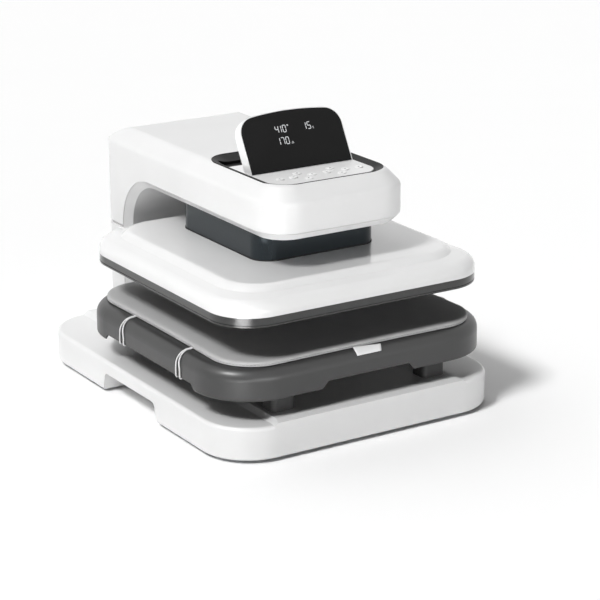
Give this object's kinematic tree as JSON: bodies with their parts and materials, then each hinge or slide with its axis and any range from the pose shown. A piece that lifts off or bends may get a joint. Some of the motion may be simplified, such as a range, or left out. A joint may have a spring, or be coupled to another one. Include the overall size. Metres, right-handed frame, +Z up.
{
  "type": "heat_press",
  "caption": "Automatic heat press: a C-shaped white arm with a flip-up display carries a square heated platen that lowers onto a padded pull-out tray.",
  "frame": {"origin": "on the floor under the middle of the base, at the bottom centre of the part's box", "axes": "X points to the right, Y to the back and Z up, with the display facing the front"},
  "size_m": [0.4276, 0.525, 0.3932],
  "materials": {
    "white_cover": "smooth white moulded plastic with a satin sheen",
    "charcoal_plastic": "fine-grained dark grey plastic",
    "black_plastic": "matte black plastic",
    "slate_plastic": "dark slate moulded plastic",
    "panel_white": "matte white plastic",
    "display_black": "black glossy display window",
    "steel": "plain steel",
    "zinc_sheet": "zinc-coated sheet",
    "aluminium_plate": "cast aluminium with a dark non-stick coat",
    "brass_bush": "plain machined brass",
    "gear_plastic": "ivory acetal",
    "board": "green circuit board",
    "rubber": "soft black rubber",
    "insulation": "pressed mineral felt",
    "pad_cloth": "light grey heat-proof cloth over foam",
    "elastic": "white elastic cord",
    "tag_cloth": "plain white woven tag"
  },
  "bodies": {
    "frame": {"base_cover": "white_cover", "base_plate": "zinc_sheet", "rubber_feet": "rubber", "base_screws": "steel", "column_frame": "steel", "frame_bolts": "steel", "arm_frame": "steel", "column_cover": "white_cover", "arm_cover": "white_cover", "arm_liner": "white_cover", "power_inlet": "black_plastic", "switch_housing": "black_plastic", "power_board": "board", "control_board": "board", "recess_bezel": "black_plastic", "key_panel": "panel_white", "key_board": "board", "motor_bracket": "zinc_sheet", "lift_motor": "black_plastic", "screw_bearing": "brass_bush", "guide_sleeves": "brass_bush", "top_switch": "black_plastic"},
    "platen": {"guide_posts": "steel", "lift_bridge": "steel", "lift_nut": "brass_bush", "platen_carrier": "zinc_sheet", "platen_studs": "steel", "insulation_board": "insulation", "heating_element": "steel", "thermal_cutout": "black_plastic", "heat_plate": "aluminium_plate", "platen_rim": "charcoal_plastic", "platen_cover": "white_cover", "neck_gasket": "rubber", "neck_shell": "slate_plastic"},
    "screw": {"lead_screw": "steel", "screw_gear": "gear_plastic"},
    "pinion": {"motor_pinion": "brass_bush"},
    "tray": {"tray_shell": "charcoal_plastic", "tray_legs": "black_plastic", "pad": "pad_cloth", "elastic_loops": "elastic", "sewn_tag": "tag_cloth"},
    "display": {"display_shell": "panel_white", "display_glass": "display_black", "display_board": "board", "hinge_pins": "steel"},
    "rocker": {"switch_rocker": "black_plastic"},
    "key_1": {"key_1": "panel_white"},
    "key_2": {"key_2": "panel_white"},
    "key_3": {"key_3": "panel_white"},
    "key_4": {"key_4": "panel_white"},
    "key_5": {"key_5": "panel_white"},
    "key_6": {"key_6": "panel_white"},
    "key_7": {"key_7": "panel_white"},
    "key_8": {"key_8": "panel_white"},
    "key_9": {"key_9": "panel_white"},
    "key_10": {"key_10": "panel_white"}
  },
  "joints": [
    {"name": "platen_lift", "type": "slide", "parent": "frame", "child": "platen", "axis": [0, 0, 1], "range_m": [-0.044, 0]},
    {"name": "screw_turn", "type": "hinge", "parent": "frame", "child": "screw", "pos_m": [0, -0.0322, 0.3], "axis": [0, 0, 1], "range_deg": [-802, 10]},
    {"name": "pinion_turn", "type": "hinge", "parent": "frame", "child": "pinion", "pos_m": [0, -0.0742, 0.3], "axis": [0, 0, 1], "range_deg": [-20, 1604]},
    {"name": "tray_pull", "type": "slide", "parent": "frame", "child": "tray", "axis": [0, -1, 0], "range_m": [0, 0.45]},
    {"name": "display_flip", "type": "hinge", "parent": "frame", "child": "display", "pos_m": [0, -0.07979, 0.3268], "axis": [-1, 0, 0], "range_deg": [0, 61]},
    {"name": "power_switch", "type": "hinge", "parent": "frame", "child": "rocker", "pos_m": [-0.042, 0.255, 0.091], "axis": [1, 0, 0], "range_deg": [-8, 8]},
    {"name": "press_1", "type": "slide", "parent": "frame", "child": "key_1", "axis": [0, 0, -1], "range_m": [0, 0.0008], "stiffness_N_per_m": 300, "springref_m": -0.001},
    {"name": "press_2", "type": "slide", "parent": "frame", "child": "key_2", "axis": [0, 0, -1], "range_m": [0, 0.0008], "stiffness_N_per_m": 300, "springref_m": -0.001},
    {"name": "press_3", "type": "slide", "parent": "frame", "child": "key_3", "axis": [0, 0, -1], "range_m": [0, 0.0008], "stiffness_N_per_m": 300, "springref_m": -0.001},
    {"name": "press_4", "type": "slide", "parent": "frame", "child": "key_4", "axis": [0, 0, -1], "range_m": [0, 0.0008], "stiffness_N_per_m": 300, "springref_m": -0.001},
    {"name": "press_5", "type": "slide", "parent": "frame", "child": "key_5", "axis": [0, 0, -1], "range_m": [0, 0.0008], "stiffness_N_per_m": 300, "springref_m": -0.001},
    {"name": "press_6", "type": "slide", "parent": "frame", "child": "key_6", "axis": [0, 0, -1], "range_m": [0, 0.0008], "stiffness_N_per_m": 300, "springref_m": -0.001},
    {"name": "press_7", "type": "slide", "parent": "frame", "child": "key_7", "axis": [0, 0, -1], "range_m": [0, 0.0008], "stiffness_N_per_m": 300, "springref_m": -0.001},
    {"name": "press_8", "type": "slide", "parent": "frame", "child": "key_8", "axis": [0, 0, -1], "range_m": [0, 0.0008], "stiffness_N_per_m": 300, "springref_m": -0.001},
    {"name": "press_9", "type": "slide", "parent": "frame", "child": "key_9", "axis": [0, 0, -1], "range_m": [0, 0.0008], "stiffness_N_per_m": 300, "springref_m": -0.001},
    {"name": "press_10", "type": "slide", "parent": "frame", "child": "key_10", "axis": [0, 0, -1], "range_m": [0, 0.0008], "stiffness_N_per_m": 300, "springref_m": -0.001}
  ],
  "couplings": [
    {"joint": "screw_turn", "follows": "platen_lift", "rad_per_m": 314.16},
    {"joint": "pinion_turn", "follows": "platen_lift", "rad_per_m": -628.32}
  ]
}
